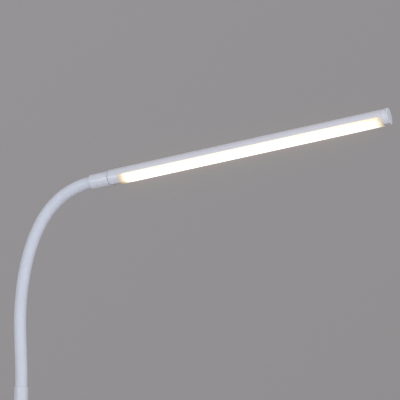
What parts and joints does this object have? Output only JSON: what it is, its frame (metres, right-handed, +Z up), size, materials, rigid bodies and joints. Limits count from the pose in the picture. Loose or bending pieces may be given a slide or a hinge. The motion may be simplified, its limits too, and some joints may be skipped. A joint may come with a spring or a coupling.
{
  "type": "floor lamp",
  "caption": "Floor lamp with a weighted round base, slim pole, sleeved flexible neck and a tubular light bar that turns in its collar; push-button dimmer on the base.",
  "frame": {"origin": "centre of the base on the floor, on the pole's axis", "axes": "+Z up along the pole, +X the way the neck and the light bar reach; neck and bar lie in the XZ plane"},
  "size_m": [0.6149, 0.23, 1.3708],
  "materials": {
    "white_coat": "satin white powder coat on steel",
    "white_coat_alu": "satin white powder coat on aluminium",
    "white_silicone": "matte white silicone sleeve",
    "steel": "plain steel",
    "zinc_plate": "bright zinc plate",
    "brass": "turned",
    "black_foam": "closed-cell foam, fine grain",
    "white_plastic": "moulded, fine texture",
    "white_cable": "extruded cable jacket",
    "red_wire": "extruded insulation",
    "board_green": "solder mask",
    "board_white": "white solder mask",
    "phosphor": "phosphor gel",
    "black_plastic": "moulded",
    "green_plastic": "moulded",
    "opal": "opal extrusion, lit"
  },
  "bodies": {
    "root": {"base_pad": "black_foam", "base_weight": "steel", "base_cover": "white_coat", "cover_screws": "zinc_plate", "pole_nipple": "zinc_plate", "nipple_washer": "zinc_plate", "nipple_nut": "zinc_plate", "cord_gland": "white_plastic", "dimmer_board": "board_green", "board_standoffs": "brass", "board_screws": "zinc_plate", "board_parts": "black_plastic", "terminal_block": "green_plastic", "tact_switch": "black_plastic", "button_ring": "zinc_plate", "button_spring": "steel", "base_lead": "white_cable", "pole_lead": "white_cable", "pole_foot": "white_coat", "pole_insert": "zinc_plate", "pole_lower": "white_coat", "joint_socket": "zinc_plate", "joint_stud": "zinc_plate", "pole_upper": "white_coat", "neck_ferrule": "white_coat", "neck_foot_fitting": "zinc_plate", "neck_core_01": "steel", "neck_sleeve_01": "white_silicone"},
    "neck_02": {"neck_core_02": "steel", "neck_sleeve_02": "white_silicone"},
    "neck_03": {"neck_core_03": "steel", "neck_sleeve_03": "white_silicone"},
    "neck_04": {"neck_core_04": "steel", "neck_sleeve_04": "white_silicone"},
    "neck_05": {"neck_core_05": "steel", "neck_sleeve_05": "white_silicone"},
    "neck_06": {"neck_core_06": "steel", "neck_sleeve_06": "white_silicone"},
    "neck_07": {"neck_core_07": "steel", "neck_sleeve_07": "white_silicone"},
    "neck_08": {"neck_core_08": "steel", "neck_sleeve_08": "white_silicone"},
    "neck_09": {"neck_core_09": "steel", "neck_sleeve_09": "white_silicone"},
    "collar": {"neck_core_10": "steel", "neck_sleeve_10": "white_silicone", "neck_head_fitting": "zinc_plate", "collar": "white_coat", "grub_screw": "white_coat"},
    "head": {"head_spigot": "steel", "swivel_washer": "zinc_plate", "swivel_clip": "steel", "head_housing": "white_coat_alu", "diffuser": "opal", "led_board": "board_white", "led_chips": "phosphor", "head_leads": "red_wire", "end_cap": "white_plastic"},
    "button": {"button_cap": "white_plastic"}
  },
  "joints": [
    {"name": "lower_bend", "type": "hinge", "parent": "root", "child": "neck_02", "pos_m": [-0.00065, 0, 1.07989], "axis": [0, 1, 0], "range_deg": [-18, 18]},
    {"name": "lower_sway", "type": "hinge", "parent": "neck_02", "child": "neck_03", "pos_m": [-0.00222, 0, 1.10975], "axis": [0.9981, 0, 0.061], "range_deg": [-15, 15]},
    {"name": "lower_bend_2", "type": "hinge", "parent": "neck_03", "child": "neck_04", "pos_m": [-0.003, 0, 1.13963], "axis": [0, 1, 0], "range_deg": [-18, 18]},
    {"name": "lower_sway_2", "type": "hinge", "parent": "neck_04", "child": "neck_05", "pos_m": [-0.00144, 0, 1.16948], "axis": [0.9954, 0, -0.0958], "range_deg": [-15, 15]},
    {"name": "upper_bend", "type": "hinge", "parent": "neck_05", "child": "neck_06", "pos_m": [0.00298, 0, 1.19904], "axis": [0, 1, 0], "range_deg": [-18, 18]},
    {"name": "upper_sway", "type": "hinge", "parent": "neck_06", "child": "neck_07", "pos_m": [0.01072, 0, 1.2279], "axis": [0.9483, 0, -0.3173], "range_deg": [-15, 15]},
    {"name": "upper_bend_2", "type": "hinge", "parent": "neck_07", "child": "neck_08", "pos_m": [0.02274, 0, 1.25523], "axis": [0, 1, 0], "range_deg": [-18, 18]},
    {"name": "upper_sway_2", "type": "hinge", "parent": "neck_08", "child": "neck_09", "pos_m": [0.04058, 0, 1.27912], "axis": [0.7133, 0, -0.7009], "range_deg": [-15, 15]},
    {"name": "upper_bend_3", "type": "hinge", "parent": "neck_09", "child": "collar", "pos_m": [0.06473, 0, 1.2965], "axis": [0, 1, 0], "range_deg": [-18, 18]},
    {"name": "head_swivel", "type": "hinge", "parent": "collar", "child": "head", "pos_m": [0.11796, 0, 1.30869], "axis": [0.9903, 0, 0.1392], "range_deg": [-90, 90]},
    {"name": "button_press", "type": "slide", "parent": "root", "child": "button", "axis": [0, 0, -1], "range_m": [0, 0.0015], "stiffness_N_per_m": 600, "springref_m": -0.001, "deforming": ["button_spring"]}
  ],
  "couplings": [
    {"joint": "lower_bend_2", "follows": "lower_bend", "ratio": 1},
    {"joint": "lower_sway_2", "follows": "lower_sway", "ratio": 1},
    {"joint": "upper_bend_2", "follows": "upper_bend", "ratio": 1},
    {"joint": "upper_bend_3", "follows": "upper_bend", "ratio": 1},
    {"joint": "upper_sway_2", "follows": "upper_sway", "ratio": 1}
  ]
}
